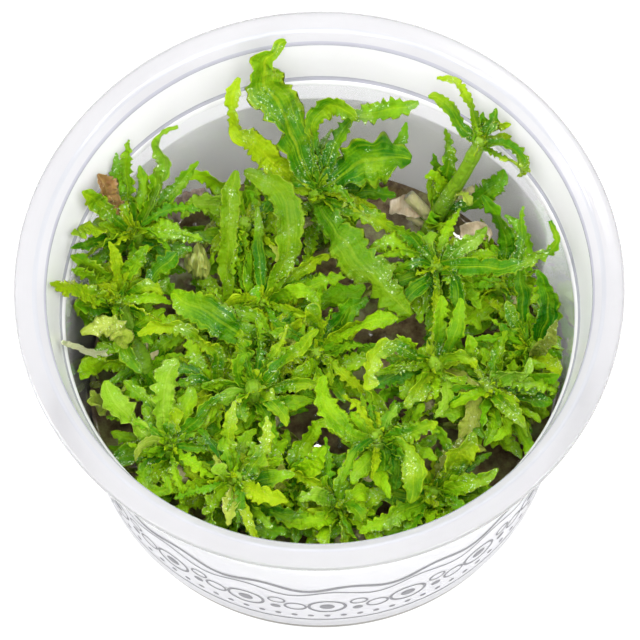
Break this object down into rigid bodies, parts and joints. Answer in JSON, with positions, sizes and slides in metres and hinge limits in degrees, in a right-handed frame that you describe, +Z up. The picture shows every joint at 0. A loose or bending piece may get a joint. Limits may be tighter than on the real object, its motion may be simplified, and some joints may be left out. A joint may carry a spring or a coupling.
{
  "type": "tissue culture plant cup",
  "caption": "Open clear plastic cup with a pale wrapped label, brown culture gel and a dense stand of bright green downoi plantlets with crimped leaves.",
  "frame": {"origin": "centre of the round base where the cup rests", "axes": "+Z up along the cup's axis, -Y towards the front, +X to the right"},
  "size_m": [0.1, 0.1, 0.0626],
  "materials": {
    "clear_plastic": "clear, glossy",
    "label_film": "printed film, satin",
    "culture_gel": "wet, translucent",
    "leaf": "living leaf, wet gloss",
    "old_leaf": "dead leaf, damp"
  },
  "bodies": {
    "root": {"cup": "clear_plastic", "label": "label_film", "gel": "culture_gel", "back_rosette": "leaf", "tall_stalk": "leaf", "back_left_shoot": "leaf", "upper_left_rosette": "leaf", "left_rosette": "leaf", "mid_left_shoot": "leaf", "glossy_leaf_shoot": "leaf", "centre_shoot": "leaf", "centre_front_shoot": "leaf", "right_centre_shoot": "leaf", "right_mid_rosette": "leaf", "right_back_shoot": "leaf", "right_wall_shoot": "leaf", "right_front_rosette": "leaf", "front_right_rosette": "leaf", "front_right_low_shoot": "leaf", "front_low_shoot": "leaf", "front_olive_shoot": "leaf", "front_mid_rosette": "leaf", "front_rosette": "leaf", "front_left_mid_shoot": "leaf", "front_left_rosette": "leaf", "brown_strap": "old_leaf", "olive_clump": "old_leaf", "tan_chip_back": "old_leaf", "tan_chip_mid": "old_leaf", "tan_chip_right": "old_leaf"}
  },
  "joints": []
}
